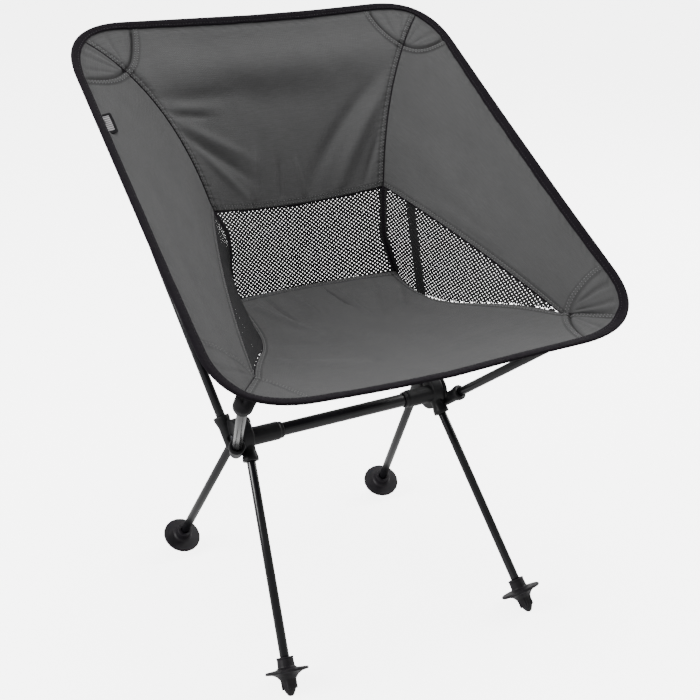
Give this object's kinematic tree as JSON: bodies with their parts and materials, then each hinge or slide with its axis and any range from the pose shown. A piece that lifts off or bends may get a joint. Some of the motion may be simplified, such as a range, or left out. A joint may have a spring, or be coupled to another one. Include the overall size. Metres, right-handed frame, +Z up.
{
  "type": "ultralight backpacking chair",
  "caption": "Low packable camp chair: four splayed tube legs and four seat poles plug into two side hubs on a crossbar, and a bucket sling of fabric and mesh is stretched on the pole tips.",
  "frame": {"origin": "on the ground plane under the middle of the chair's overall box", "axes": "+Z up, the sitter faces -Y, +X is to the right when the chair is looked at from the front"},
  "size_m": [0.5256, 0.4808, 0.6992],
  "materials": {
    "black_anodised_tube": "glossy black anodised aluminium tube",
    "black_hub_plastic": "black moulded nylon, satin",
    "black_foot_plastic": "black moulded plastic, satin",
    "screw_steel": "black plated steel",
    "ferrule_alloy": "plain drawn aluminium",
    "elastic_cord": "black braided elastic cord",
    "grey_fabric": "mid-grey coated polyester, fine weave",
    "black_mesh": "black knitted polyester mesh with small oval holes",
    "black_webbing": "black ribbed binding tape",
    "label_fabric": "small folded woven label, left blank"
  },
  "bodies": {
    "frame_and_sling": {"crossbar": "black_anodised_tube", "crossbar_cord": "elastic_cord", "leg_hub_right": "black_hub_plastic", "leg_hub_left": "black_hub_plastic", "pole_hub_right": "black_hub_plastic", "pole_hub_left": "black_hub_plastic", "hub_screw_right": "screw_steel", "hub_screw_left": "screw_steel", "front_pole_right": "black_anodised_tube", "front_pole_left": "black_anodised_tube", "front_pole_cord_right": "elastic_cord", "front_pole_cord_left": "elastic_cord", "front_pole_cap_right": "black_hub_plastic", "front_pole_cap_left": "black_hub_plastic", "back_pole_lower_right": "black_anodised_tube", "back_pole_lower_left": "black_anodised_tube", "back_pole_ferrule_right": "ferrule_alloy", "back_pole_ferrule_left": "ferrule_alloy", "back_pole_upper_right": "black_anodised_tube", "back_pole_upper_left": "black_anodised_tube", "back_pole_cord_right": "elastic_cord", "back_pole_cord_left": "elastic_cord", "back_pole_cap_right": "black_hub_plastic", "back_pole_cap_left": "black_hub_plastic", "back_panel": "grey_fabric", "back_mesh": "black_mesh", "seat_panel": "grey_fabric", "side_panel_right": "grey_fabric", "side_panel_left": "grey_fabric", "side_mesh_right": "black_mesh", "side_mesh_left": "black_mesh", "edge_binding": "black_webbing", "front_pocket_right": "black_webbing", "front_pocket_left": "black_webbing", "back_pocket_right": "black_webbing", "back_pocket_left": "black_webbing", "seam_tape_right": "black_webbing", "seam_tape_left": "black_webbing", "side_label": "label_fabric"},
    "front_left_leg": {"front_leg_tube_left": "black_anodised_tube", "front_leg_cord_left": "elastic_cord", "front_leg_foot_left": "black_foot_plastic"},
    "front_right_leg": {"front_leg_tube_right": "black_anodised_tube", "front_leg_cord_right": "elastic_cord", "front_leg_foot_right": "black_foot_plastic"},
    "rear_left_leg": {"rear_leg_tube_left": "black_anodised_tube", "rear_leg_cord_left": "elastic_cord", "rear_leg_foot_left": "black_foot_plastic"},
    "rear_right_leg": {"rear_leg_tube_right": "black_anodised_tube", "rear_leg_cord_right": "elastic_cord", "rear_leg_foot_right": "black_foot_plastic"}
  },
  "joints": [
    {"name": "front_left_leg_pull_out", "type": "slide", "parent": "frame_and_sling", "child": "front_left_leg", "axis": [-0.1206, -0.5932, -0.796], "range_m": [0, 0.06], "stiffness_N_per_m": 150, "springref_m": -0.03},
    {"name": "front_right_leg_pull_out", "type": "slide", "parent": "frame_and_sling", "child": "front_right_leg", "axis": [0.1206, -0.5932, -0.796], "range_m": [0, 0.06], "stiffness_N_per_m": 150, "springref_m": -0.03},
    {"name": "rear_left_leg_pull_out", "type": "slide", "parent": "frame_and_sling", "child": "rear_left_leg", "axis": [-0.1194, 0.5445, -0.8302], "range_m": [0, 0.06], "stiffness_N_per_m": 150, "springref_m": -0.03},
    {"name": "rear_right_leg_pull_out", "type": "slide", "parent": "frame_and_sling", "child": "rear_right_leg", "axis": [0.1194, 0.5445, -0.8302], "range_m": [0, 0.06], "stiffness_N_per_m": 150, "springref_m": -0.03}
  ]
}
